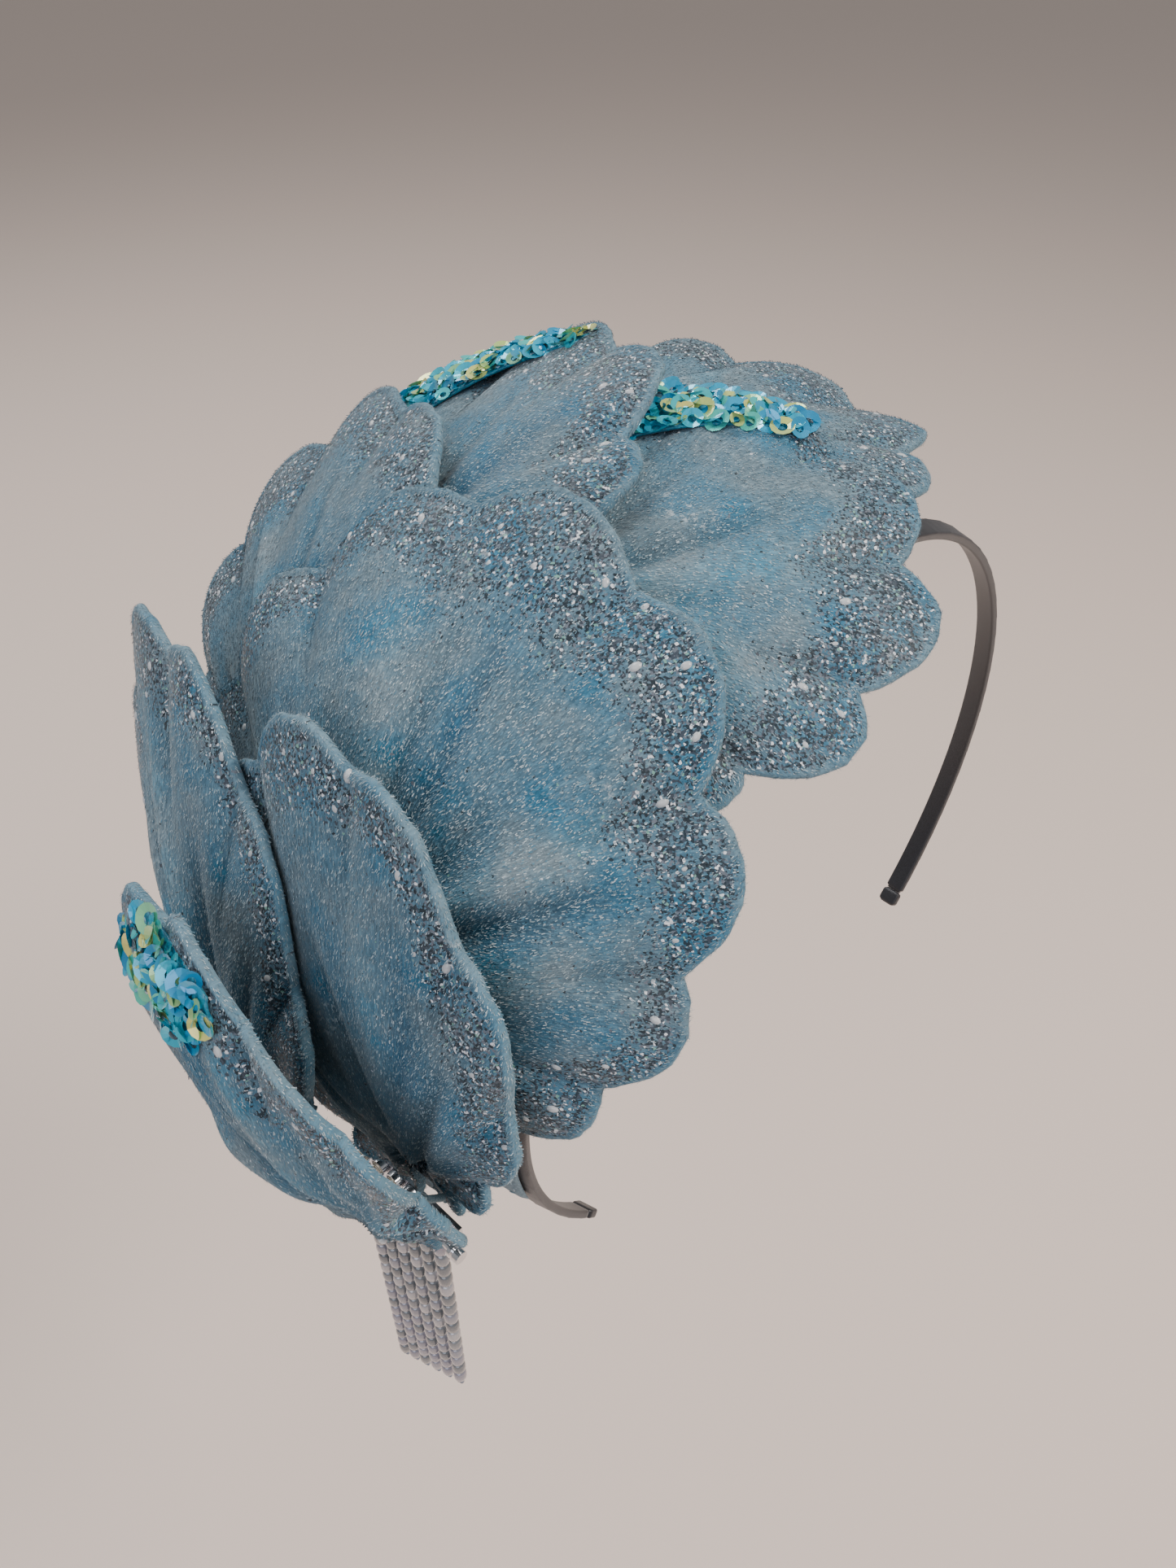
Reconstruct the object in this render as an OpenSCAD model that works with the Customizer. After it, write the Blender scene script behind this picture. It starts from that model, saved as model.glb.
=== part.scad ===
// Fascinator headpiece: scalloped velvet leaves overlap along a slim headband, from beside the
// wearer's right ear up over the crown, with sequin trims and a beaded tassel below the ear.
// Frame: origin at the centre of the round head seat, +Z up, the wearer looks along -Y,
// and the wearer's right ear is on -X. Millimetres.

/* [Head and band] */
// Radius of the round head seat
head_r = 84; // [80:1:88]
// Distance of the band's plane in front of the head's centre
band_forward = 20; // [14:1:24]
// How far each arm of the band reaches down from the crown, in degrees
band_reach = 128; // [120:1:132]
// Width of the spring strip inside the band
spring_w = 4; // [3:0.5:4]
// Thickness of the spring strip
spring_t = 0.8; // [0.6:0.1:0.8]
// Thickness of the satin sleeve round the strip
sleeve_t = 0.45; // [0.3:0.05:0.5]

/* [Felt] */
// Thickness of the felt base
felt_t = 1.2; // [1:0.1:1.4]
// Half width of the felt base, measured along the head in degrees
felt_half = 19; // [16:1:20]

/* [Leaves] */
// Thickness of a padded velvet leaf
leaf_t = 2; // [1.4:0.1:2]
// Scallops round one leaf
scallops = 13; // [11:1:15]
// Depth of a scallop
scallop_depth = 4; // [2:0.5:4.5]
// Half angle of the closed notch behind the stalk, in degrees
notch_half = 13; // [10:1:20]
// Diameter of a wrapped wire stalk
stalk_d = 1.4; // [1.2:0.1:1.6]

/* [Tassel] */
// Number of beaded strands
strands = 6; // [6:1:6]
// Distance between neighbouring strands
strand_pitch = 4.3; // [4:0.1:4.5]
// Beads on the shortest strand, at the front; each strand behind it has one more
beads = 15; // [10:1:16]
// Length of a barrel bead
bead_l = 4.2; // [3.5:0.1:4.4]
// Diameter of a barrel bead
bead_d = 3.1; // [2.6:0.1:3.2]
// Diameter of the tassel bar
bar_d = 1.6; // [1.2:0.1:1.6]

/* [Hidden] */
$fn = 64;

velvet = "#7f9fae";
felt = "#4f6f80";
black = "#1c1c1f";
steel = "#9aa0a6";
silver = "#c3c6cc";
teal = "#1f9fb5";
bead_grey = "#a9adb8";
wrap_blue = "#6d8b9a";

// ---- layers over the head ----
seat_gap = 0.2;
fit_gap = 0.05;
sleeve_in = head_r + seat_gap;
spring_in = sleeve_in + sleeve_t + fit_gap;
sleeve_out = spring_in + spring_t + fit_gap + sleeve_t;
felt_in = sleeve_out + 0.15;
felt_out = felt_in + felt_t;
band_tilt = -asin(band_forward / head_r);
sleeve_w = spring_w + 2 * (fit_gap + sleeve_t);
tip_reach = 3;
felt_from = -16;
felt_to = 106;
felt_mid = -5;
pad_from = 92;
pad_to = 103;
pad_mid = -1;
pad_half = 8;
pad_out = 96;
stalk_run = 8;

// ---- sequin trims ----
patch_t = 1;
patch_cols = 24;
patch_rows = 3;

// ---- tassel, hung below the ear ----
bar_x = -99;
bar_y = -5;
bar_z = -19;
bar_l = strands * strand_pitch + 5;
end_d = 2.8;
plate_back = 1.6;
plate_t = 0.8;
plate_low = 0.5;
plate_h = 5;
plate_l = strands * strand_pitch + 4;
lug_t = 0.8;
lug_r = 1.5;
crystal_z = 3.4;
cup_d = 3.8;
cup_h = 1.4;
ring_d = 2.8;
ring_w = 1.8;
thread_d = 0.7;
knot_d = 1.6;
bead_step = bead_l + 0.1;

// ---- leaves: where each one sits and how it is bent ----
// [down from the crown, towards the back, height over the seat,
//  heading (0 is up the band, 90 is backwards), lift, roll,
//  bend radius along, bend radius across the front half, the same across the back half
//  (a negative one curls away from the head), outline radius, stalk offset, narrowing]
LEAF_SIDE        = [68,  4, 17, -2,  5,   7,  98, 98, 110, 61, 0.40, 0.94];
LEAF_SIDE_BACK   = [60, 28, 16.5, 26, 16,   9, 100, 92, 600, 47, 0.68, 0.90];
LEAF_SIDE_TALL   = [88.4, 9.5, 28.4, 40,  1.3,  1, 200, 72, 96, 53, 0.72, 0.68];
LEAF_EAR_FRONT   = [86, -7.5, 17.2, 25,  7.5,  -6, 132, 126, 213, 45, 0.78, 0.81];
LEAF_EAR_OUTER   = [84.5, -9, 30.6, 48,  27,  -3, 63, 120, 38, 42, 0.60, 0.52];
LEAF_CROWN_FRONT = [30,  5, 10.5,-30,  1,   4,  92, 92, 150, 46, 0.50, 0.98];
LEAF_CROWN_BACK  = [36, 25, 17,   8, 10,   6, 100, 92, 600, 42, 0.68, 1.00];
LEAF_CROWN_END   = [ 6, 23,  8.5, -36, 4,  6,  92, 90,-400, 43, 0.66, 1.04];

// The stalks of the three outermost leaves start on the face of the leaf below
front_seat = 92.5;
outer_seat = head_r + LEAF_EAR_FRONT[2] + leaf_t / 2;
tall_seat = outer_seat + 0.5;

seg = 5;
cols = scallops * seg;
rings = [0.32, 0.62, 0.86, 1];

function unit(v) = v / norm(v);
function flipped(faces) = [for (f = faces) [f[2], f[1], f[0]]];
function seat_normal(L) = [-sin(L[0]) * cos(L[1]), sin(L[1]), cos(L[0]) * cos(L[1])];
function seat_up(L) = [cos(L[0]), 0, sin(L[0])];
function seat_back(L) = [sin(L[0]) * sin(L[1]), cos(L[1]), -cos(L[0]) * sin(L[1])];
function leaf_base(L) = seat_normal(L) * (head_r + L[2]);
function leaf_along(L) = cos(L[3]) * seat_up(L) + sin(L[3]) * seat_back(L);
function flat_across(L) = cross(leaf_along(L), seat_normal(L));
function leaf_face(L) = cos(L[5]) * seat_normal(L) + sin(L[5]) * flat_across(L);
function leaf_across(L) = cos(L[5]) * flat_across(L) - sin(L[5]) * seat_normal(L);

// A point of the leaf: u along it and v across it from the stalk, h above its middle layer
function leaf_point(L, u, v, h) =
    let (
        to_deg = 180 / PI,
        turn = L[4] - u / L[6] * to_deg,
        spine = leaf_base(L)
            + leaf_along(L) * (sin(L[4]) - sin(turn)) * L[6]
            + leaf_face(L) * (cos(turn) - cos(L[4])) * L[6],
        face = leaf_face(L) * cos(turn) - leaf_along(L) * sin(turn),
        bend = v > 0 ? L[7] : L[8],
        side = v / bend * to_deg,
        out = face * cos(side) + leaf_across(L) * sin(side)
    )
    spine - face * bend + out * (bend + h);

// Distance from the stalk to the plain outline, at angle a from the leaf's line
function plain_rim(L, a) =
    let (c = L[9] * L[10])
    c * cos(a) + sqrt(L[9] * L[9] - pow(c * sin(a), 2));

// A point at share q of the way from the stalk to the scalloped rim
function rim_point(L, a, wave, q, h) =
    let (r = (plain_rim(L, a) - scallop_depth * (1 - wave)) * q)
    leaf_point(L, r * cos(a), r * sin(a) * L[11], h);

function col_angle(i) = (180 - notch_half) * (2 * i / cols - 1);
function col_wave(i) = abs(sin(180 * i / seg));

// One velvet leaf: an upper and a lower skin, each a centre point and rings, closed at the rim
module leaf_solid(L) {
    last = len(rings) - 1;
    skin = 1 + len(rings) * (cols + 1);
    function skin_points(h) = concat(
        [leaf_point(L, 0, 0, h)],
        [for (q = rings) for (i = [0:cols]) rim_point(L, col_angle(i), col_wave(i), q, h)]
    );
    function id(s, j, i) = s * skin + 1 + j * (cols + 1) + i;
    function wall(i) = concat(
        [[0, skin, id(0, 0, i)], [skin, id(1, 0, i), id(0, 0, i)]],
        [for (j = [0:last - 1]) each [
            [id(0, j, i), id(1, j, i), id(0, j + 1, i)],
            [id(1, j, i), id(1, j + 1, i), id(0, j + 1, i)]]]
    );
    fans = [for (i = [0:cols - 1]) each [
        [0, id(0, 0, i), id(0, 0, i + 1)],
        [skin, id(1, 0, i + 1), id(1, 0, i)]]];
    skins = [for (j = [0:last - 1]) for (i = [0:cols - 1]) each [
        [id(0, j, i), id(0, j + 1, i), id(0, j + 1, i + 1)],
        [id(0, j, i), id(0, j + 1, i + 1), id(0, j, i + 1)],
        [id(1, j, i), id(1, j + 1, i + 1), id(1, j + 1, i)],
        [id(1, j, i), id(1, j, i + 1), id(1, j + 1, i + 1)]]];
    edge = [for (i = [0:cols - 1]) each [
        [id(0, last, i), id(1, last, i), id(1, last, i + 1)],
        [id(0, last, i), id(1, last, i + 1), id(0, last, i + 1)]]];
    polyhedron(
        points = concat(skin_points(leaf_t / 2), skin_points(-leaf_t / 2)),
        faces = concat(fans, skins, edge, wall(0), flipped(wall(cols)))
    );
}

// A crescent of sequin cloth that lies on a leaf's margin, from angle a0 to angle a1
module margin_patch(L, a0, a1, outer, depth) {
    n = patch_cols;
    m = patch_rows;
    low = leaf_t / 2 + 0.3;
    function share(i, j) = outer - depth * sin(180 * (0.08 + 0.84 * i / n)) * (1 - j / m);
    function grid(h) = [for (j = [0:m]) for (i = [0:n])
        rim_point(L, a0 + (a1 - a0) * i / n, 0.4, share(i, j), h)];
    function id(s, j, i) = s * (n + 1) * (m + 1) + j * (n + 1) + i;
    function quad(a, b, c, d) = [[a, b, c], [a, c, d]];
    polyhedron(
        points = concat(grid(low + patch_t), grid(low)),
        faces = concat(
            [for (j = [0:m - 1]) for (i = [0:n - 1]) each concat(
                quad(id(0, j, i), id(0, j + 1, i), id(0, j + 1, i + 1), id(0, j, i + 1)),
                quad(id(1, j, i), id(1, j, i + 1), id(1, j + 1, i + 1), id(1, j + 1, i)))],
            [for (i = [0:n - 1]) each concat(
                quad(id(0, m, i), id(1, m, i), id(1, m, i + 1), id(0, m, i + 1)),
                quad(id(0, 0, i), id(0, 0, i + 1), id(1, 0, i + 1), id(1, 0, i)))],
            [for (j = [0:m - 1]) each concat(
                quad(id(0, j, 0), id(1, j, 0), id(1, j + 1, 0), id(0, j + 1, 0)),
                quad(id(0, j, n), id(0, j + 1, n), id(1, j + 1, n), id(1, j, n)))]
        )
    );
}

// A straight wire from foot to top
module wire(foot, top, d) {
    run = top - foot;
    translate(foot)
        rotate([0, acos(run.z / norm(run)), atan2(run.y, run.x)])
            cylinder(h = norm(run), d = d);
}

// The wrapped wire stalk under a leaf: it leaves the felt behind the leaf and rises to its base
module stalk(L, seat_r) {
    clear = stalk_d / 2 + 0.1;
    foot = unit(leaf_base(L) - leaf_along(L) * stalk_run) * (seat_r + clear);
    color(wrap_blue) wire(foot, leaf_point(L, 0, 0, -leaf_t / 2 - clear), stalk_d);
}

// ---- shapes swept round the head from side to side; angles are down from the crown to -X ----
module over_head(from, to) {
    rotate([90, 0, 0])
        rotate([0, 0, 90 + from])
            rotate_extrude(angle = to - from, $fn = 180) children();
}

// A flat strip in the band's slanted section
module band_section(r, t, w) {
    rotate(-band_tilt) translate([r, -w / 2]) square([t, w]);
}

// A slice of a ring between two radii and two slopes, front slopes positive
module ring_slice(r0, r1, low, high) {
    reach = 2 * r1;
    intersection() {
        difference() {
            circle(r = r1, $fn = 180);
            circle(r = r0, $fn = 180);
        }
        polygon([[0, 0], reach * [cos(low), sin(low)], [reach, 0], reach * [cos(high), sin(high)]]);
    }
}

// ---- headband ----
module band_spring() {
    color(steel)
        over_head(-band_reach, band_reach)
            band_section(spring_in, spring_t, spring_w);
}

module band_sleeve() {
    color(black)
        over_head(-band_reach, band_reach)
            difference() {
                band_section(sleeve_in, sleeve_out - sleeve_in, sleeve_w);
                band_section(spring_in - fit_gap, spring_t + 2 * fit_gap, spring_w + 2 * fit_gap);
            }
}

// A folded satin tip that closes one end of the sleeve
module band_tip(side) {
    start = band_reach + 0.1;
    color(black)
        over_head(side > 0 ? start : -start - tip_reach, side > 0 ? start + tip_reach : -start)
            band_section(sleeve_in - 0.1, sleeve_out - sleeve_in + 0.2, sleeve_w + 0.6);
}

// ---- felt ----
module felt_base() {
    color(felt)
        over_head(felt_from, felt_to)
            ring_slice(felt_in, felt_out, felt_mid - felt_half, felt_mid + felt_half);
}

module ear_pad() {
    color(felt)
        over_head(pad_from, pad_to)
            ring_slice(felt_out + 0.1, pad_out, pad_mid - pad_half, pad_mid + pad_half);
}

// ---- leaves and stalks ----
module leaf(L) {
    color(velvet) leaf_solid(L);
}

// ---- sequins ----
module sequins_crown() {
    color(teal) margin_patch(LEAF_CROWN_FRONT, -105, -18, 0.98, 0.34);
}

module sequins_back() {
    color(teal) margin_patch(LEAF_CROWN_BACK, -95, 5, 0.98, 0.34);
}

module sequins_ear() {
    color(teal) margin_patch(LEAF_EAR_OUTER, -12, 34, 0.96, 0.3);
}

// ---- tassel ----
function strand_y(k) = bar_y + (k - (strands + 1) / 2) * strand_pitch;
function strand_beads(k) = beads + k - 1;
function thread_end(k) = ring_d / 2 + 1.2 + strand_beads(k) * bead_step + knot_d / 2;

module tassel_plate() {
    color(silver) {
        translate([bar_x + plate_back, bar_y - plate_l / 2, bar_z + plate_low])
            cube([plate_t, plate_l, plate_h]);
        for (side = [-1, 1])
            translate([bar_x, bar_y + side * (plate_l / 2 - lug_t / 2), bar_z])
                rotate([90, 0, 0])
                    difference() {
                        union() {
                            cylinder(h = lug_t, r = lug_r, center = true);
                            translate([0, -lug_r, -lug_t / 2])
                                cube([plate_back + plate_t, 2 * lug_r, lug_t]);
                        }
                        cylinder(h = lug_t + 1, d = bar_d + 2 * fit_gap, center = true);
                    }
    }
}

module tassel_bar() {
    color(silver)
        translate([bar_x, bar_y, bar_z])
            rotate([90, 0, 0]) cylinder(h = bar_l, d = bar_d, center = true);
}

module bar_ends() {
    color(silver)
        for (side = [-1, 1])
            translate([bar_x, bar_y + side * (bar_l / 2 + end_d / 4 + 0.05), bar_z])
                rotate([90, 0, 0]) cylinder(h = end_d / 2, d = end_d, center = true);
}

module crystal_cups() {
    color(silver)
        for (k = [1:strands])
            translate([bar_x + plate_back - 0.05, strand_y(k), bar_z + crystal_z])
                rotate([0, -90, 0])
                    difference() {
                        cylinder(h = cup_h, d = cup_d);
                        translate([0, 0, 0.4]) cylinder(h = cup_h, d = cup_d - 0.6);
                    }
}

module crystals() {
    color("#e8ecf2")
        for (k = [1:strands])
            translate([bar_x + plate_back - 0.5, strand_y(k), bar_z + crystal_z])
                rotate([0, -90, 0]) {
                    cylinder(h = cup_h - 0.2, d = cup_d - 0.7);
                    translate([0, 0, cup_h - 0.2])
                        cylinder(h = 0.6, d1 = cup_d - 0.7, d2 = cup_d - 1.9);
                }
}

// The small tube that hangs a strand on the bar
module ring(k) {
    color(silver)
        translate([bar_x, strand_y(k), bar_z])
            rotate([90, 0, 0])
                difference() {
                    cylinder(h = ring_w, d = ring_d, center = true);
                    cylinder(h = ring_w + 1, d = bar_d + 2 * fit_gap, center = true);
                }
}

// The thread through one strand's beads, with a knot below the last bead
module thread(k) {
    color("#8f8f99")
        translate([bar_x, strand_y(k), bar_z]) {
            translate([0, 0, -thread_end(k)])
                cylinder(h = thread_end(k) - ring_d / 2 - 0.02, d = thread_d);
            translate([0, 0, -thread_end(k)]) sphere(d = knot_d);
        }
}

module bead_row(k) {
    color(bead_grey)
        translate([bar_x, strand_y(k), bar_z])
            for (b = [1:strand_beads(k)])
                translate([0, 0, -ring_d / 2 - 0.3 - b * bead_step])
                    rotate_extrude($fn = 20)
                        difference() {
                            polygon([[0, 0], [bead_d * 0.36, 0], [bead_d / 2, bead_l * 0.25],
                                [bead_d / 2, bead_l * 0.75], [bead_d * 0.36, bead_l], [0, bead_l]]);
                            translate([-1, -1]) square([1 + thread_d / 2 + fit_gap, bead_l + 2]);
                        }
}

band_spring();
band_sleeve();
band_tip(1);  // band_tip_right
band_tip(-1);  // band_tip_left
felt_base();
ear_pad();
leaf(LEAF_SIDE);  // leaf_side
leaf(LEAF_SIDE_BACK);  // leaf_side_back
leaf(LEAF_SIDE_TALL);  // leaf_side_tall
leaf(LEAF_EAR_FRONT);  // leaf_ear_front
leaf(LEAF_EAR_OUTER);  // leaf_ear_outer
leaf(LEAF_CROWN_FRONT);  // leaf_crown_front
leaf(LEAF_CROWN_BACK);  // leaf_crown_back
leaf(LEAF_CROWN_END);  // leaf_crown_end
stalk(LEAF_SIDE, felt_out);  // stalk_side
stalk(LEAF_SIDE_BACK, felt_out);  // stalk_side_back
stalk(LEAF_SIDE_TALL, tall_seat);  // stalk_side_tall
stalk(LEAF_EAR_FRONT, front_seat);  // stalk_ear_front
stalk(LEAF_EAR_OUTER, outer_seat);  // stalk_ear_outer
stalk(LEAF_CROWN_FRONT, felt_out);  // stalk_crown_front
stalk(LEAF_CROWN_BACK, felt_out);  // stalk_crown_back
stalk(LEAF_CROWN_END, felt_out);  // stalk_crown_end
sequins_crown();
sequins_back();
sequins_ear();
tassel_plate();
tassel_bar();
bar_ends();
crystal_cups();
crystals();
for (k = [1:strands]) {
    ring(k);
    thread(k);
    bead_row(k);
}
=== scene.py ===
import math
import random

import bmesh
import bpy
import numpy as np
from bpy.props import (
    FloatProperty,
    FloatVectorProperty,
    IntProperty,
    PointerProperty,
)
from bpy.types import Operator, Panel, PropertyGroup
from mathutils import Matrix, Vector


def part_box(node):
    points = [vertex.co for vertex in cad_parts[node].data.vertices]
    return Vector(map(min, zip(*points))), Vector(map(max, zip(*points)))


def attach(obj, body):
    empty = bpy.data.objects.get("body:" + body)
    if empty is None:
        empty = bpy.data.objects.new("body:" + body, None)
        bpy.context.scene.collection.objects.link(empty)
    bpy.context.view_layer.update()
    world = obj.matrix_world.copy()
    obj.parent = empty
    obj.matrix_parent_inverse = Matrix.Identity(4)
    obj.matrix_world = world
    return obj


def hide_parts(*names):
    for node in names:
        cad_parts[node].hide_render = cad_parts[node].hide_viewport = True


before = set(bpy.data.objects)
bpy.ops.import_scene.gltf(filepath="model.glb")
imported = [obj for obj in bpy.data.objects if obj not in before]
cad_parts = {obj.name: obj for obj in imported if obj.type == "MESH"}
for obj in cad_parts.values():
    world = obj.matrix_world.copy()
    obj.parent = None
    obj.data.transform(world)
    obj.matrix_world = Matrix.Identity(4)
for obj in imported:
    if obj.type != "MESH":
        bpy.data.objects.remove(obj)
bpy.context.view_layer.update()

bl_info = {
    "name": "Velvet leaf headpiece",
    "version": (1, 0, 0),
    "blender": (4, 5, 0),
    "location": "View3D > Sidebar > Headpiece",
    "description": "Dresses a headpiece of velvet leaves with glitter, sequins and a tassel",
    "category": "Object",
}

MM = 0.001
BODY = "headpiece"

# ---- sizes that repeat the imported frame's own, in mm ----
HEAD_R = 84.0
BAND_FORWARD = 20.0
BAND_REACH = 128.0
SLEEVE_IN = 84.2
SLEEVE_OUT = 86.0
SLEEVE_W = 5.0
FELT_IN = 86.15
FELT_OUT = 87.35
PAD_OUT = 96.0
LEAF_T = 2.0
BAR = Vector((-99.0, -5.0, -19.0))
STRANDS = 6
STRAND_PITCH = 4.3
BEADS = 15
BEAD_L = 4.2
BEAD_D = 3.1
BEAD_STEP = 4.3
RING_D = 2.8
KNOT_D = 1.6
THREAD_D = 0.7
FELT_SPAN = (-16, 106)
FELT_SIDES = (-24, 14)
PAD_SPAN = (92, 103)
PAD_SIDES = (-9, 7)
# Radius at which a stalk's foot stands where it is sewn to the leaf below and not to the felt
SEATS = {
    "ear_front": 92.5,
    "side_tall": HEAD_R + 17.7 + LEAF_T / 2,
    "ear_outer": HEAD_R + 17.2 + LEAF_T / 2,
}
# Edge gap between a leaf's plain rim and its sequin trim
TRIM_INSET = 2.4

# Where each leaf sits and how it is bent, as in the frame: down from the crown, towards the
# back, height over the seat, heading, lift, roll, bend radius along, bend radius across the
# front half and the back half, outline radius, stalk offset, narrowing.
LEAVES = {
    "side": (68, 4, 17, -2, 5, 7, 98, 98, 110, 61, 0.40, 0.94),
    "side_back": (60, 28, 16.5, 26, 16, 9, 100, 92, 600, 47, 0.68, 0.90),
    "side_tall": (88.4, 9.5, 28.4, 40, 1.3, 1, 200, 72, 96, 53, 0.72, 0.68),
    "ear_front": (86, -7.5, 17.2, 25, 7.5, -6, 132, 126, 213, 45, 0.78, 0.81),
    "ear_outer": (84.5, -9, 30.6, 48, 27, -3, 63, 120, 38, 42, 0.60, 0.52),
    "crown_front": (30, 5, 10.5, -30, 1, 4, 92, 92, 150, 46, 0.50, 0.98),
    "crown_back": (36, 25, 17, 8, 10, 6, 100, 92, 600, 42, 0.68, 1.00),
    "crown_end": (6, 23, 8.5, -36, 4, 6, 92, 90, -400, 43, 0.66, 1.04),
}
# Sequin trims: the leaf, the margin's two angles, its outer share and its depth
TRIMS = {
    "crown": ("crown_front", -105, -18, 0.98, 0.34),
    "back": ("crown_back", -95, 5, 0.98, 0.34),
    "ear": ("ear_outer", -12, 34, 0.96, 0.30),
}


def linear(hex_code):
    """An sRGB hex colour as linear values."""
    parts = [int(hex_code[i : i + 2], 16) / 255 for i in (1, 3, 5)]
    return (*(c / 12.92 if c <= 0.04045 else ((c + 0.055) / 1.055) ** 2.4 for c in parts), 1.0)


def grey(value):
    return (value, value, value, 1)


BLACK, WHITE = grey(0), grey(1)


# ---------------------------------------------------------------- settings
def length(name, description, default):
    return FloatProperty(
        name=name, description=description, default=default, unit="LENGTH", precision=5
    )


def colour(name, description, hex_code):
    return FloatVectorProperty(
        name=name, description=description, default=linear(hex_code),
        size=4, subtype="COLOR", min=0, max=1,
    )


class LeafSettings(PropertyGroup):
    lobes: IntProperty(name="Lobes", description="Scallops round one leaf", default=13, min=5)
    lobe_depth: length("Lobe depth", "How deep the notches between lobes are", 6.0 * MM)
    rim_width: length("Rim width", "Width of the rolled rim", 1.7 * MM)
    vein_depth: length("Vein depth", "Depth of the pressed veins", 1.7 * MM)
    vein_width: length("Vein width", "Half width of a pressed vein", 2.0 * MM)
    ruffle: length("Ruffle", "How far a lobe cups at the margin", 1.5 * MM)
    pile: length("Pile", "Length of a velvet fibre", 1.5 * MM)
    blue: colour("Blue", "The velvet where its pile stands up", "#3c7690")
    grey: colour("Grey", "The velvet where its pile lies over", "#6c8089")
    light: colour("Light", "Fibre tips that catch the light", "#a3b6be")
    rim: colour("Rim", "The velvet on the rolled rim", "#7090a0")


class GlitterSettings(PropertyGroup):
    band: length("Band", "Width of the glittered margin", 18 * MM)
    flake: length("Flake", "Radius of a glitter flake", 0.27 * MM)
    density: FloatProperty(name="Density", description="Flakes on a square metre", default=3.6e6)
    dew: length("Dew bead", "Radius of a clear dew bead", 0.8 * MM)
    dew_gap: length("Dew spacing", "Least distance between dew beads", 5 * MM)


class TrimSettings(PropertyGroup):
    radius: length("Sequin radius", "Outer radius of a cup sequin", 2.0 * MM)
    gap: length("Sequin spacing", "Least distance between sequins", 1.7 * MM)


class StageSettings(PropertyGroup):
    floor: colour("Floor", "Plain pale floor", "#e6d3c7")
    floor_drop: length("Floor", "Depth of the floor under the head's centre", 0.32)
    lens: FloatProperty(name="Lens", description="Focal length", default=26.0, unit="CAMERA")


# ---------------------------------------------------------------- node helpers
MATH, MIX, RAMP = "ShaderNodeMath", "ShaderNodeMix", "ShaderNodeValToRGB"
NOISE, ATTRIBUTE = "ShaderNodeTexNoise", "ShaderNodeAttribute"
RANDOM, NAMED = "FunctionNodeRandomValue", "GeometryNodeInputNamedAttribute"
TIMES = {"operation": "MULTIPLY"}
BLEND = {"data_type": "RGBA"}
SHADE = {"data_type": "RGBA", "blend_type": "MULTIPLY"}


def feed(tree, node, inputs):
    """Gives each input a value, or links it to a socket or to a node's first output in use."""
    for key, value in inputs.items():
        if isinstance(value, bpy.types.Node):
            value = next(socket for socket in value.outputs if socket.enabled)
        if isinstance(value, bpy.types.NodeSocket):
            tree.links.new(value, node.inputs[key])
        else:
            node.inputs[key].default_value = value
    return node


def add(tree, kind, inputs=None, stops=(), sharp=False, **settings):
    """Adds a node with its settings, values and links, and a ramp's stops of (place, colour)."""
    node = tree.nodes.new(kind)
    for key, value in settings.items():
        setattr(node, key, value)
    if stops:
        node.color_ramp.interpolation = "CONSTANT" if sharp else "LINEAR"
        while len(node.color_ramp.elements) < len(stops):
            node.color_ramp.elements.new(0.5)
        for element, (place, tone) in zip(node.color_ramp.elements, stops):
            element.position = place
            element.color = linear(tone) if isinstance(tone, str) else tone
    return feed(tree, node, inputs or {})


def material(name):
    """A new material, its tree and its surface shader."""
    made = bpy.data.materials.new(name)
    made.use_nodes = True
    return made, made.node_tree, made.node_tree.nodes["Principled BSDF"]


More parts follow.
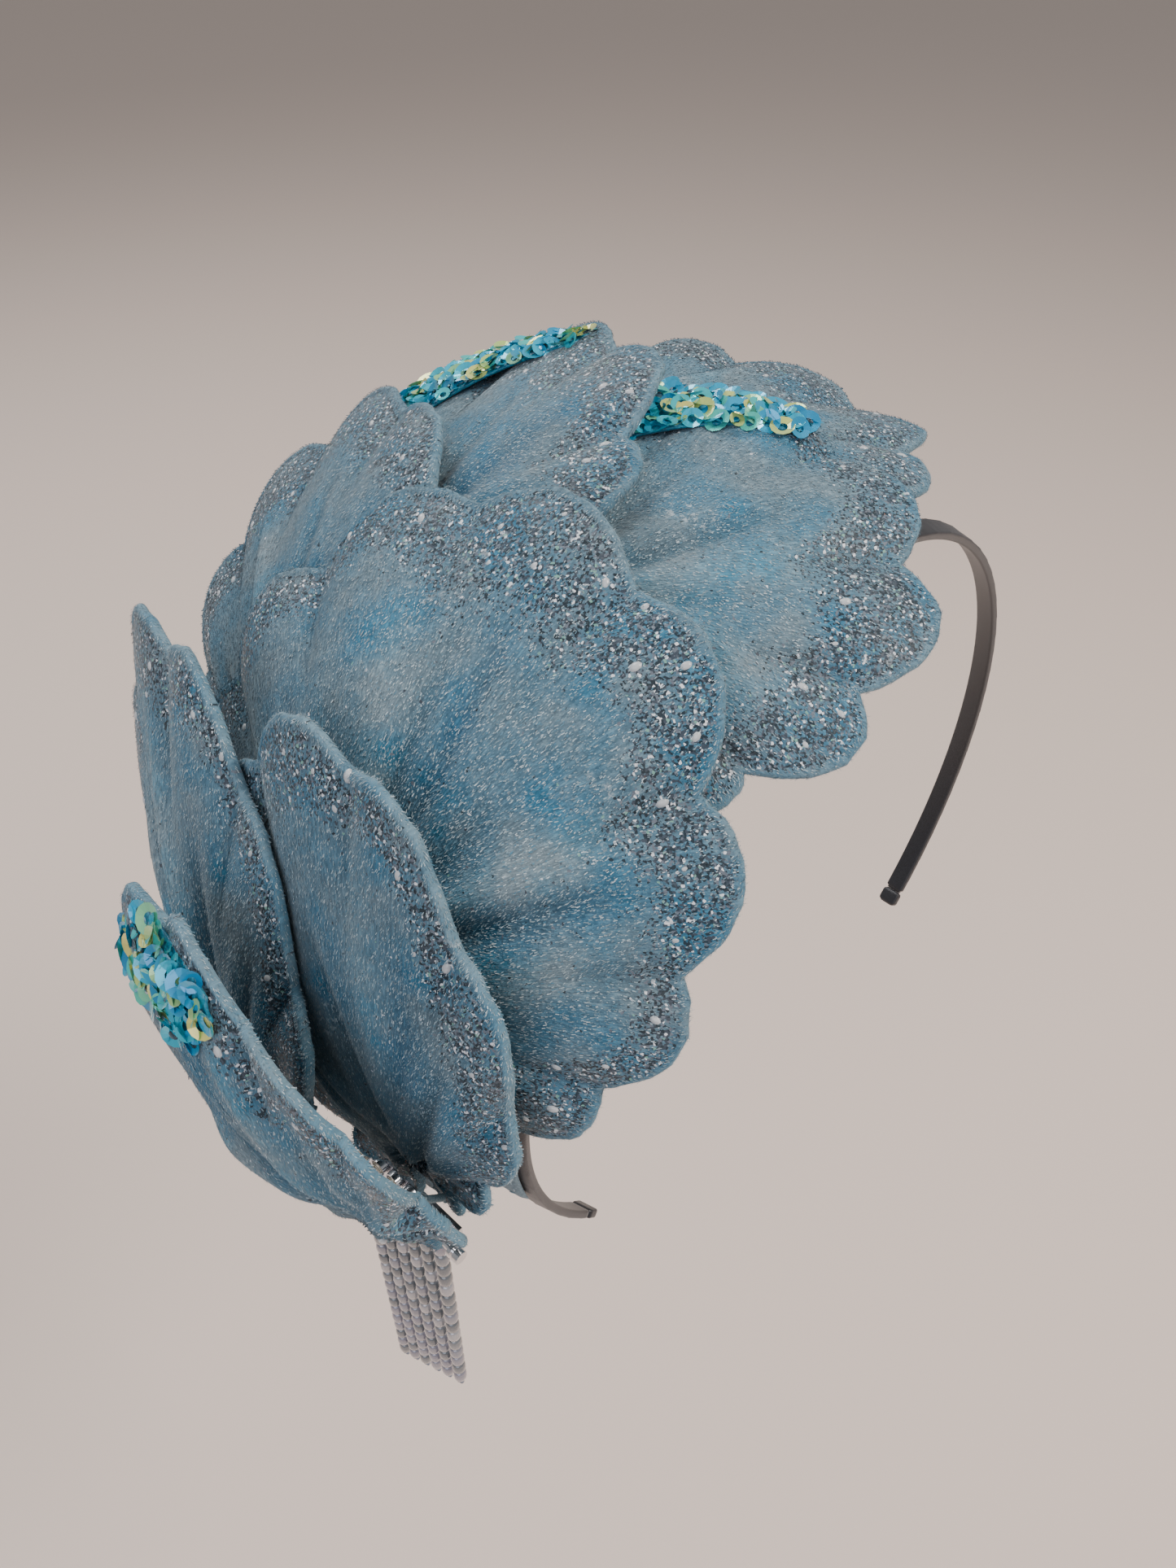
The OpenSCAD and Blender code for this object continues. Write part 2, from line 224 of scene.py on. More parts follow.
# ---------------------------------------------------------------- materials
def velvet(settings, name):
    """Cotton-backed rayon velvet: short dense pile, matt face on, pale at grazing angles."""
    made, tree, shader = material(name)
    place, fan = (
        add(tree, "ShaderNodeUVMap", uv_map=label).outputs[0] for label in ("flat", "fan")
    )
    margin, rim, crease, swell = (
        add(tree, ATTRIBUTE, attribute_name=label).outputs["Fac"]
        for label in ("margin", "rim", "crease", "swell")
    )
    # Crushed areas are 15 mm across, brushed ones 5 mm
    crushed = add(tree, NOISE, {"Vector": place, "Scale": 65.0, "Detail": 3.0})
    brushed = add(tree, NOISE, {"Vector": place, "Scale": 210.0, "Detail": 4.0})
    # Nap streaks: 0.35 mm wide and 2.5 mm long, along the fan of the pile
    stretch = add(tree, "ShaderNodeMapping", {"Vector": fan, "Scale": (2900.0, 420.0, 1.0)})
    streaks = add(
        tree, NOISE, {"Vector": stretch, "Scale": 1.0, "Detail": 3.0, "Roughness": 0.6}
    )
    laid = add(tree, RAMP, {"Fac": crushed}, [(0.36, BLACK), (0.62, WHITE)])
    body = add(tree, MIX, {0: laid, 6: settings.blue, 7: settings.grey}, **BLEND)
    # Painted light on the broad swells: crests lightened as a painted highlight, valleys darkened as painted
    # shade
    swell_light_and_shade = add(
        tree, RAMP, {"Fac": swell},
        [(0.15, (0.5, 0.66, 0.76, 1)), (0.5, (0.95, 0.97, 0.99, 1)), (0.9, (1.6, 1.42, 1.33, 1))],
    )
    body = add(tree, MIX, {0: 0.9, 6: body, 7: swell_light_and_shade}, **SHADE)
    # Painted shade: the pressed veins and notch folds are darkened towards deep teal
    deep = add(tree, MATH, {0: crease, 1: 0.75}, **TIMES)
    body = add(tree, MIX, {0: deep, 6: body, 7: linear("#2c4957")}, **BLEND)
    lit = add(tree, RAMP, {"Fac": brushed}, [(0.45, BLACK), (0.75, WHITE)])
    lit = add(tree, MATH, {0: lit, 1: 0.15}, **TIMES)
    body = add(tree, MIX, {0: lit, 6: body, 7: settings.light}, **BLEND)
    nap = add(
        tree, RAMP, {"Fac": streaks},
        [(0.35, (0.5, 0.54, 0.58, 1)), (0.55, (0.95, 0.97, 1, 1)), (0.72, (1.9, 1.8, 1.72, 1))],
    )
    body = add(tree, MIX, {0: 0.75, 6: body, 7: nap}, **SHADE)
    worn = add(tree, RAMP, {"Fac": brushed}, [(0.35, grey(0.2)), (0.65, grey(0.75))])
    worn = add(tree, MATH, {0: rim, 1: worn}, **TIMES)
    body = add(tree, MIX, {0: worn, 6: body, 7: settings.rim}, **BLEND)
    # Fine glitter pressed into the pile, cells 0.4 mm across, sparse inwards
    cells = add(tree, "ShaderNodeTexVoronoi", {"Vector": place, "Scale": 2400.0})
    pick = add(tree, "ShaderNodeSeparateColor", {"Color": cells.outputs["Color"]})
    # The near-white cells are painted glints; the black, grey and green cells are the glitter's own tones
    tone = add(
        tree, RAMP, {"Fac": pick.outputs[1]},
        [(0.0, "#131418"), (0.42, "#3a3d46"), (0.72, "#6a6e78"), (0.9, "#f6f7fb"),
         (0.98, "#7fb0a0")],
        sharp=True,
    )
    patchy = add(tree, RAMP, {"Fac": brushed}, [(0.3, grey(0.45)), (0.6, WHITE)])
    patchy = add(tree, MATH, {0: margin, 1: patchy}, **TIMES)
    patchy = add(tree, MATH, {0: patchy, 1: 0.78}, **TIMES)
    chosen = add(tree, MATH, {0: pick.outputs[0], 1: patchy}, operation="LESS_THAN")
    cover = add(tree, MATH, {0: chosen, 1: 0.85}, **TIMES)
    body = add(tree, MIX, {0: cover, 6: body, 7: tone}, **BLEND)
    # Frosty traces of dried glue, in spots 20 mm across
    traces = add(
        tree, NOISE, {"Vector": place, "Scale": 420.0, "Detail": 5.0, "Roughness": 0.7}
    )
    spots = add(tree, NOISE, {"Vector": place, "Scale": 48.0})
    traces = add(tree, RAMP, {"Fac": traces}, [(0.56, BLACK), (0.6, WHITE)])
    spots = add(tree, RAMP, {"Fac": spots}, [(0.62, BLACK), (0.7, WHITE)])
    frost = add(tree, MATH, {0: traces, 1: spots}, **TIMES)
    frost = add(tree, MATH, {0: frost, 1: 0.6}, **TIMES)
    body = add(tree, MIX, {0: frost, 6: body, 7: linear("#c3cfd4")}, **BLEND)
    # Relief: pile grain, nap streaks and flakes, within 0.35 mm
    grain = add(tree, NOISE, {"Vector": place, "Scale": 1900.0, "Detail": 2.0})
    parts = [
        add(tree, MATH, {0: layer, 1: share}, **TIMES)
        for layer, share in ((grain, 0.5), (streaks, 0.7), (chosen, 0.35))
    ]
    height = add(tree, MATH, {0: parts[0], 1: parts[1]}, operation="ADD")
    height = add(tree, MATH, {0: height, 1: parts[2]}, operation="ADD")
    feed(tree, shader, {
        "Base Color": body,
        "Roughness": add(tree, RAMP, {"Fac": chosen}, [(0.0, grey(0.88)), (1.0, grey(0.35))]),
        "Normal": add(
            tree, "ShaderNodeBump", {"Strength": 0.9, "Distance": 0.35 * MM, "Height": height}
        ),
        "Sheen Weight": 0.4,
        "Sheen Roughness": 0.38,
        "Sheen Tint": linear("#c9d8de"),
        "Specular IOR Level": 0.25,
    })
    return made


def toned(name, stops, sharp=False, **surface):
    """A material whose small pieces each take a colour from their own random tone."""
    made, tree, shader = material(name)
    tone = add(tree, ATTRIBUTE, attribute_name="tone").outputs["Fac"]
    shade = add(tree, RAMP, {"Fac": tone}, stops, sharp)
    feed(tree, shader, {"Base Color": shade})
    feed(tree, shader, {key.replace("_", " ").title(): v for key, v in surface.items()})
    return made, tree, shader, shade


def pile_fibre(settings):
    """Single rayon fibres that stand out of the velvet: pale, slightly shiny."""
    stops = [(0.0, settings.blue), (0.5, settings.grey), (0.9, settings.light), (1.0, "#c3d0d6")]
    return toned("rayon_pile_fibre", stops, roughness=0.55, sheen_weight=0.3)[0]


def glitter_flake():
    """Cut foil glitter: mirror flakes, mostly grey and black, some white, a few coloured."""
    stops = [
        (0.0, "#131419"), (0.34, "#3c3f48"), (0.64, "#72757f"), (0.84, "#d7dae2"),
        (0.93, "#f7f8fc"), (0.965, "#59b08c"), (0.978, "#d98a5c"), (0.989, "#c58fb4"),
    ]
    return toned("cut_foil_glitter", stops, True, metallic=0.75, roughness=0.28)[0]


def bead_glass():
    """Silver-lined lustre glass: grey with a lilac cast, glossy over a pale lining."""
    stops = [(0.0, "#696d72"), (0.5, "#83868b"), (0.8, "#95929f"), (1.0, "#a9a8ab")]
    surface = {"metallic": 0.35, "roughness": 0.22, "coat_weight": 0.6}
    return toned("silver_lined_bead_glass", stops, **surface)[0]


def sequin_film():
    """Iridescent polyester film: teal at its depth, green, yellow and gold where it tilts."""
    stops = [
        (0.0, "#0c7fb4"), (0.35, "#14a6d4"), (0.6, "#2bc0d6"), (0.76, "#52cdb4"),
        (0.86, "#c2d878"), (1.0, "#f2de78"),
    ]
    surface = {"metallic": 0.25, "roughness": 0.2, "coat_weight": 0.8, "coat_roughness": 0.05}
    made, tree, shader, shade = toned("iridescent_sequin_film", stops, **surface)
    tilt = add(tree, "ShaderNodeLayerWeight", {"Blend": 0.45}).outputs["Facing"]
    tilt = add(tree, MATH, {0: tilt, 1: 0.3}, **TIMES)
    body = add(tree, MIX, {0: tilt, 6: shade, 7: linear("#5fdcd2")}, **BLEND)
    feed(tree, shader, {"Base Color": body})
    return made


def clear_glass(name, hex_code, rough=0.02, clear=0.85):
    """Polished glass: clear, with a bright edge."""
    made, tree, shader = material(name)
    place = add(tree, "ShaderNodeTexCoord").outputs["Object"]
    cloud = add(tree, NOISE, {"Vector": place, "Scale": 900.0})
    cloud = add(tree, MATH, {0: cloud, 1: 0.2}, **TIMES)
    tone = add(tree, MIX, {0: cloud, 6: linear(hex_code), 7: WHITE}, **BLEND)
    feed(tree, shader, {
        "Base Color": tone, "Roughness": rough, "Transmission Weight": clear, "IOR": 1.5,
    })
    return made


def woven_cloth(name, base_hex, light_hex, pitch, rough=0.8, sheen=0.2):
    """A fine plain weave or felted cloth whose threads or fibres are pitch mm apart."""
    made, tree, shader = material(name)
    place = add(tree, "ShaderNodeTexCoord").outputs["Object"]
    fleck = add(tree, NOISE, {"Vector": place, "Scale": 1 / (pitch * MM), "Detail": 3.0})
    cloud = add(tree, NOISE, {"Vector": place, "Scale": 60.0, "Detail": 2.0})
    share = add(tree, RAMP, {"Fac": fleck}, [(0.35, BLACK), (0.7, WHITE)])
    body = add(tree, MIX, {0: share, 6: linear(base_hex), 7: linear(light_hex)}, **BLEND)
    shade = add(tree, RAMP, {"Fac": cloud}, [(0.3, grey(0.6)), (0.7, WHITE)])
    body = add(tree, MIX, {0: 0.35, 6: body, 7: shade}, **SHADE)
    bump = {"Strength": 0.7, "Distance": pitch * 0.4 * MM, "Height": fleck}
    feed(tree, shader, {
        "Base Color": body, "Normal": add(tree, "ShaderNodeBump", bump),
        "Roughness": rough, "Sheen Weight": sheen,
    })
    return made


def plated_metal(name, hex_code, rough):
    """Silver-plated brass: polished, with faint handling marks."""
    made, tree, shader = material(name)
    place = add(tree, "ShaderNodeTexCoord").outputs["Object"]
    marks = add(tree, NOISE, {"Vector": place, "Scale": 700.0, "Detail": 4.0})
    wear = [(0.3, grey(rough * 0.7)), (0.75, grey(rough * 1.6))]
    feed(tree, shader, {
        "Base Color": add(tree, MIX, {0: marks, 6: linear(hex_code), 7: linear("#f2f2f4")}, **BLEND),
        "Roughness": add(tree, RAMP, {"Fac": marks}, wear),
        "Metallic": 1.0,
    })
    return made


# ---------------------------------------------------------------- mesh helpers
def new_object(name, mesh):
    made = bpy.data.objects.new(name, mesh)
    bpy.context.scene.collection.objects.link(made)
    return made


def mesh_object(name, points, faces, finish, smooth=True):
    """A mesh object from points in mm."""
    mesh = bpy.data.meshes.new(name)
    mesh.from_pydata([tuple(c * MM for c in p) for p in points], [], faces)
    mesh.validate()
    mesh.polygons.foreach_set("use_smooth", [smooth] * len(mesh.polygons))
    mesh.materials.append(finish)
    mesh.update()
    return new_object(name, mesh)


def closed_rows(rows, columns_closed=False, capped=False):
    """Faces of a grid of rows of equal length, numbered row by row."""
    count = len(rows[0])
    faces = []
    last = count if columns_closed else count - 1
    for j in range(len(rows) - 1):
        for i in range(last):
            k = (i + 1) % count
            faces.append((j * count + i, j * count + k, (j + 1) * count + k, (j + 1) * count + i))
    if capped:
        faces.append(tuple(reversed(range(count))))
        faces.append(tuple((len(rows) - 1) * count + i for i in range(count)))
    return faces


def outward(made):
    """Turns a closed mesh's faces outwards."""
    work = bmesh.new()
    work.from_mesh(made.data)
    bmesh.ops.remove_doubles(work, verts=work.verts, dist=1e-7)
    bmesh.ops.recalc_face_normals(work, faces=work.faces)
    work.to_mesh(made.data)
    work.free()
    return made


def baked(carrier, tree, values, name):
    """Runs a geometry tree on carrier and returns the result as a plain mesh object."""
    modifier = carrier.modifiers.new(name, "NODES")
    modifier.node_group = tree
    for item in tree.interface.items_tree:
        if item.in_out == "INPUT" and item.name in values:
            modifier[item.identifier] = values[item.name]
    graph = bpy.context.evaluated_depsgraph_get()
    mesh = bpy.data.meshes.new_from_object(
        carrier.evaluated_get(graph), preserve_all_data_layers=True, depsgraph=graph
    )
    carrier.modifiers.remove(modifier)
    return new_object(name, mesh)


def new_tree(name, sockets):
    """A geometry tree with the named inputs; sockets are (name, kind)."""
    tree = bpy.data.node_groups.new(name, "GeometryNodeTree")
    tree.interface.new_socket("Geometry", in_out="INPUT", socket_type="NodeSocketGeometry")
    for label, kind in sockets:
        tree.interface.new_socket(label, in_out="INPUT", socket_type="NodeSocket" + kind)
    tree.interface.new_socket("Geometry", in_out="OUTPUT", socket_type="NodeSocketGeometry")
    return tree, tree.nodes.new("NodeGroupInput").outputs


def close_tree(tree, geometry, finish):
    """Ends a tree: real geometry, with its material."""
    real = add(tree, "GeometryNodeRealizeInstances", {"Geometry": geometry})
    dressed = add(tree, "GeometryNodeSetMaterial", {"Geometry": real, "Material": finish})
    add(tree, "NodeGroupOutput", {"Geometry": dressed})
    return tree


def with_tone(tree, instances, seed):
    """Gives each instance its own random tone from 0 to 1."""
    tone = add(tree, RANDOM, {2: 0.0, 3: 1.0, "Seed": seed}, data_type="FLOAT")
    return add(
        tree, "GeometryNodeStoreNamedAttribute",
        {"Geometry": instances, "Name": "tone", "Value": tone},
        data_type="FLOAT", domain="INSTANCE",
    )


# ---------------------------------------------------------------- geometry trees
def scatter_tree(name, piece_of, poisson=False, spin=math.pi, tilt=0.6, along_nap=False):
    """Scatters one small shape over a surface where its weight attribute is high."""
    tree, given = new_tree(
        name,
        [("Weight", "String"), ("Density", "Float"), ("Spacing", "Float"), ("Size", "Float"),
         ("Lift", "Float"), ("Seed", "Int"), ("Material", "Material")],
    )
    weight = add(tree, NAMED, {"Name": given["Weight"]}, data_type="FLOAT")
    inputs = {"Mesh": given["Geometry"], "Seed": given["Seed"]}
    if poisson:
        inputs |= {
            "Distance Min": given["Spacing"], "Density Max": given["Density"],
            "Density Factor": weight,
        }
    else:
        inputs["Density"] = add(tree, MATH, {0: weight, 1: given["Density"]}, **TIMES)
    spread = add(
        tree, "GeometryNodeDistributePointsOnFaces", inputs,
        distribute_method="POISSON" if poisson else "RANDOM",
    )
    turned = spread.outputs["Rotation"]
    if along_nap:
        nap = add(tree, NAMED, {"Name": "nap"}, data_type="FLOAT_VECTOR")
        turned = add(
            tree, "FunctionNodeAlignRotationToVector", {"Rotation": turned, "Vector": nap},
            axis="X", pivot_axis="Z",
        )
    lean = add(
        tree, RANDOM, {0: (-tilt, -tilt, -spin), 1: (tilt, tilt, spin), "Seed": 11},
        data_type="FLOAT_VECTOR",
    )
    turned = add(
        tree, "FunctionNodeRotateRotation", {"Rotation": turned, "Rotate By": lean},
        rotation_space="LOCAL",
    )
    lift = add(
        tree, "ShaderNodeVectorMath", {0: spread.outputs["Normal"], "Scale": given["Lift"]},
        operation="SCALE",
    )
    raised = add(
        tree, "GeometryNodeSetPosition", {"Geometry": spread.outputs["Points"], "Offset": lift}
    )
    scale = add(tree, RANDOM, {2: 0.7, 3: 1.25, "Seed": 5}, data_type="FLOAT")
    placed = add(
        tree, "GeometryNodeInstanceOnPoints",
        {"Points": raised, "Instance": piece_of(tree, given["Size"]), "Rotation": turned,
         "Scale": scale},
    )
    return close_tree(tree, with_tone(tree, placed, 3), given["Material"])


def flake_shape(tree, size):
    """A flat five-sided flake."""
    return add(tree, "GeometryNodeMeshCircle", {"Vertices": 5, "Radius": size}, fill_type="NGON")


def fibre_shape(tree, size):
    """A thin three-cornered fibre that leans along the nap, size long."""
    blade = add(tree, "GeometryNodeMeshCircle", {"Vertices": 3, "Radius": size}, fill_type="NGON")
    lean = {"Geometry": blade, "Scale": (0.95, 0.05, 1.0), "Rotation": (0.0, -0.3, 0.0)}
    return add(tree, "GeometryNodeTransform", lean)


def drop_shape(tree, size):
    """A low drop of clear glass, longer along the nap."""
    ball = add(tree, "GeometryNodeMeshUVSphere", {"Segments": 8, "Rings": 6, "Radius": size})
    low = add(tree, "GeometryNodeTransform", {"Geometry": ball, "Scale": (1.25, 0.85, 0.7)})
    return add(tree, "GeometryNodeSetShadeSmooth", {"Geometry": low})


def sequin_shape(tree, size):
    """A cupped sequin: an open cone frustum whose narrow end is its hole."""
    hole, depth = (add(tree, MATH, {0: size, 1: share}, **TIMES) for share in (0.42, 0.16))
    cup = add(
        tree, "GeometryNodeMeshCone",
        {"Vertices": 12, "Radius Top": hole, "Radius Bottom": size, "Depth": depth},
        fill_type="NONE",
    ).outputs[0]
    return add(tree, "GeometryNodeTransform", {"Geometry": cup, "Rotation": (math.pi, 0.0, 0.0)})


def bead_tree():
    """Barrel beads threaded on a line of points."""
    tree, given = new_tree(
        "beads_on_thread",
        [("Length", "Float"), ("Radius", "Float"), ("Seed", "Int"), ("Material", "Material")],
    )
    barrel = add(
        tree, "GeometryNodeMeshCylinder",
        {"Vertices": 14, "Side Segments": 6, "Fill Segments": 2, "Radius": given["Radius"],
         "Depth": given["Length"]},
    ).outputs[0]
    # The barrel narrows towards both ends: 1 - 1.75 x |height / length| ^ 2.6
    position = add(tree, "GeometryNodeInputPosition")
    height = add(tree, "ShaderNodeSeparateXYZ", {0: position}).outputs[2]
    share = add(tree, MATH, {0: height, 1: given["Length"]}, operation="DIVIDE")
    share = add(tree, MATH, {0: share}, operation="ABSOLUTE")
    share = add(tree, MATH, {0: share, 1: 2.6}, operation="POWER")
    share = add(tree, MATH, {0: share, 1: 1.75}, **TIMES)
    swell = add(tree, MATH, {0: 1.0, 1: share}, operation="SUBTRACT")
    scale = add(tree, "ShaderNodeCombineXYZ", {0: swell, 1: swell, 2: 1.0})
    scaled = add(tree, "ShaderNodeVectorMath", {0: position, 1: scale}, operation="MULTIPLY")
    rounded = add(tree, "GeometryNodeSetPosition", {"Geometry": barrel, "Position": scaled})
    smooth = add(tree, "GeometryNodeSetShadeSmooth", {"Geometry": rounded})
    points = add(tree, "GeometryNodeMeshToPoints", {"Mesh": given["Geometry"]})
    size = add(
        tree, RANDOM, {0: (0.95, 0.95, 0.97), 1: (1.0, 1.0, 1.0), "Seed": 2},
        data_type="FLOAT_VECTOR",
    )
    placed = add(
        tree, "GeometryNodeInstanceOnPoints",
        {"Points": points, "Instance": smooth, "Scale": size},
    )
    return close_tree(tree, with_tone(tree, placed, 7), given["Material"])


def stitch_tree():
    """Short thread stitches laid along a line's points, turned to the line."""
    tree, given = new_tree(
        "running_stitches", [("Length", "Float"), ("Radius", "Float"), ("Material", "Material")]
    )
    step, half = (add(tree, MATH, {0: given["Length"], 1: k}, **TIMES) for k in (1.8, 0.5))
    path = add(tree, "GeometryNodeMeshToCurve", {"Mesh": given["Geometry"]})
    even = add(tree, "GeometryNodeResampleCurve", {"Curve": path, "Length": step}, mode="LENGTH")
    way = add(tree, "GeometryNodeInputTangent")
    turned = add(tree, "FunctionNodeAlignRotationToVector", {"Vector": way}, axis="Z")
    ball = add(tree, "GeometryNodeMeshUVSphere", {"Segments": 6, "Rings": 5, "Radius": 1.0})
    scale = add(tree, "ShaderNodeCombineXYZ", {0: given["Radius"], 1: given["Radius"], 2: half})
    shape = add(tree, "GeometryNodeTransform", {"Geometry": ball, "Scale": scale})
    placed = add(
        tree, "GeometryNodeInstanceOnPoints",
        {"Points": even, "Instance": shape, "Rotation": turned},
    )
    return close_tree(tree, placed, given["Material"])


# ---------------------------------------------------------------- leaf shape
class Leaf:
    """One leaf's place and bend, with the same formula as the frame's."""

    def __init__(self, row):
        (down, back, height, heading, lift, roll, self.along_r, self.front_r, self.back_r,
         self.rho, self.offset, self.narrow) = row
        a, b, t, r = (math.radians(x) for x in (down, back, heading, roll))
        normal = np.array([-math.sin(a) * math.cos(b), math.sin(b), math.cos(a) * math.cos(b)])
        up = np.array([math.cos(a), 0.0, math.sin(a)])
        rear = np.array([math.sin(a) * math.sin(b), math.cos(b), -math.cos(a) * math.sin(b)])
        self.base = normal * (HEAD_R + height)
        self.along = math.cos(t) * up + math.sin(t) * rear
        flat = np.cross(self.along, normal)
        self.face = math.cos(r) * normal + math.sin(r) * flat
        self.across = math.cos(r) * flat - math.sin(r) * normal
        self.lift = math.radians(lift)

    def point(self, u, v, h):
        """Points at u along and v across from the stalk, h above the middle layer, in mm."""
        u, v, h = (np.asarray(x, float)[..., None] for x in (u, v, h))
        turn = self.lift - u / self.along_r
        spine = (
            self.base
            + self.along * (math.sin(self.lift) - np.sin(turn)) * self.along_r
            + self.face * (np.cos(turn) - math.cos(self.lift)) * self.along_r
        )
        face = self.face * np.cos(turn) - self.along * np.sin(turn)
        bend = np.where(v > 0, self.front_r, self.back_r)
        side = v / bend
        out = face * np.cos(side) + self.across * np.sin(side)
        return spine - face * bend + out * (bend + h)

    def plain_rim(self, a):
        c = self.rho * self.offset
        return c * np.cos(a) + np.sqrt(self.rho**2 - (c * np.sin(a)) ** 2)


def smooth_step(x, low, high):
    t = np.clip((x - low) / (high - low), 0, 1)
    return t * t * (3 - 2 * t)


def leaf_mesh(name, row, settings, glitter, finish, seed):
    """A padded velvet leaf: two skins with pressed veins, cupped lobes and a rolled rim."""
    leaf = Leaf(row)
    rng = random.Random(seed)
    lobes = settings.lobes
    per_lobe = 14
    cols = lobes * per_lobe
    depth = settings.lobe_depth / MM
    half = math.radians(180 - 13)
    i = np.arange(cols + 1)
    a = half * (2 * i / cols - 1)
    wave = np.abs(np.sin(math.pi * i / per_lobe))
    wobble = sum(rng.uniform(0.2, 0.5) * np.sin(k * a + rng.uniform(0, 6.3)) for k in (2, 3, 5))
    depths = np.array([rng.uniform(0.7, 1.2) for _ in range(lobes + 1)])
    notch = depths[np.rint(i / per_lobe).astype(int)]
    fray = sum(0.16 * np.sin(k * a + rng.uniform(0, 6.3)) for k in (31, 47, 71))
    rim = leaf.plain_rim(a) - depth * notch * (1 - wave) + wobble * 0.8 + fray
    # Distances from the rim, closest together on the rolled edge, then shares of what is left
    edge = np.array([0.0, 0.12, 0.4, 0.8, 1.2, 1.8, 2.5, 3.4, 4.6])
    inner = np.linspace(1, 0.03, 30)
    r = np.concatenate([rim[None, :] - edge[:, None], (rim - 6.2)[None, :] * inner[:, None]])
    from_rim = rim[None, :] - r
    q = r / rim[None, :]
    # Half thickness: rounded edge, full rolled rim, a pressed line behind it, then the padding
    roll = 1.0
    round_edge = np.sqrt(np.clip(roll**2 - (roll - np.minimum(from_rim, roll)) ** 2, 0, None))
    press = 0.2 * np.exp(-(((from_rim - settings.rim_width / MM - 0.9) / 0.9) ** 2))
    thick = np.where(from_rim < roll, round_edge, roll - 0.1 * smooth_step(from_rim, roll, 4.0)) - press
    # The middle layer's own shape
    cup = settings.ruffle / MM * (wave[None, :] - 0.62) * smooth_step(q, 0.62, 1.0)
    middle = cup * 1.2 + 0.5 * smooth_step(q, 0.6, 1.0)
    # Each notch runs inwards as a soft fold, and the padding swells between the folds
    fold = (1 - wave[None, :]) ** 2 * notch[None, :]
    middle -= 1.1 * fold * smooth_step(q, 0.5, 0.8) * (1 - 0.5 * smooth_step(q, 0.9, 1.0))
    # crease marks the veins and notch folds, where the velvet is darkened as painted shade
    crease = np.zeros_like(q)
    for k in range(lobes):
        strength = rng.uniform(0.35, 1.0) if k % 2 == 0 else rng.uniform(0.0, 0.5)
        lane = half * (2 * (k + 0.5 + rng.uniform(-0.25, 0.25)) / lobes - 1)
        off = r * (a[None, :] - lane - 0.05 * np.sin(q * 5 + k))
        width = settings.vein_width / MM * (1.15 - 0.3 * q)
        reach = rng.uniform(0.7, 0.98)
        fade = 1 - smooth_step(q, 0.5 * reach, reach)
        line = np.exp(-((off / width) ** 2)) * smooth_step(q, 0.03, 0.16) * fade
        beside = (np.abs(off) - 2.2 * width) / width
        ridge = np.exp(-(beside**2)) * smooth_step(q, 0.1, 0.3) * fade
        middle -= strength * settings.vein_depth / MM * (line - 0.5 * ridge)
        crease += strength * line
    crease += 0.35 * fold * smooth_step(q, 0.55, 0.8) * (1 - smooth_step(q, 0.85, 0.97))
    # Broad swells fan out from the stalk: the velvet gives their crests a painted highlight and their valleys
    # painted shade
    swell = np.zeros_like(q)
    for k in range(9):
        lane = half * rng.uniform(-0.8, 0.8)
        off = r * (a[None, :] - lane - 0.12 * np.sin(3 * q + k))
        wide = rng.uniform(3.0, 6.5) * (0.5 + 0.6 * q)
        swell += rng.choice((-1, 1, 1)) * rng.uniform(0.5, 1.0) * np.exp(-((off / wide) ** 2))
    swell *= smooth_step(q, 0.05, 0.25) * (1 - smooth_step(q, 0.55, 0.85))
    middle += 1.25 * swell
    for k in (1, 2, 3):
        middle += rng.uniform(0.3, 0.7) * q * np.sin(k * 1.7 * a[None, :] + 2.2 * q * k + rng.uniform(0, 6.3))
    u, v = r * np.cos(a), r * np.sin(a) * leaf.narrow
    top = leaf.point(u, v, middle + thick)
    low = leaf.point(u, v, middle - thick)
    rows, count = r.shape
    hub_h = float(middle[-1].mean())
    hub_half = 0.95
    hub_top, hub_low = (leaf.point(0, 0, hub_h + side) for side in (hub_half, -hub_half))
    # The rim's first ring is shared by both skins
    low = low[1:]
    points = np.concatenate([top.reshape(-1, 3), low.reshape(-1, 3), hub_top[None], hub_low[None]])
    tops = lambda j, k: j * count + k
    lows = lambda j, k: tops(0, k) if j == 0 else rows * count + (j - 1) * count + k
    hub = len(points) - 2
    faces = []
    for j in range(rows - 1):
        for k in range(count - 1):
            faces.append((tops(j, k), tops(j, k + 1), tops(j + 1, k + 1), tops(j + 1, k)))
            faces.append((lows(j, k), lows(j + 1, k), lows(j + 1, k + 1), lows(j, k + 1)))
    last = rows - 1
    for k in range(count - 1):
        faces.append((tops(last, k), tops(last, k + 1), hub))
        faces.append((lows(last, k), hub + 1, lows(last, k + 1)))
    for k, flip in ((0, False), (count - 1, True)):
        walls = [(tops(j, k), tops(j + 1, k), lows(j + 1, k), lows(j, k)) for j in range(1, last)]
        walls.append((tops(0, k), tops(1, k), lows(1, k)))
        walls.append((tops(last, k), hub, hub + 1, lows(last, k)))
        faces += [tuple(reversed(w)) if flip else w for w in walls]
    made = mesh_object(name, points, faces, finish)
    mesh = made.data

    def spread(grid, at_hub):
        return np.concatenate([grid.reshape(-1), grid[1:].reshape(-1), [at_hub, at_hub]])

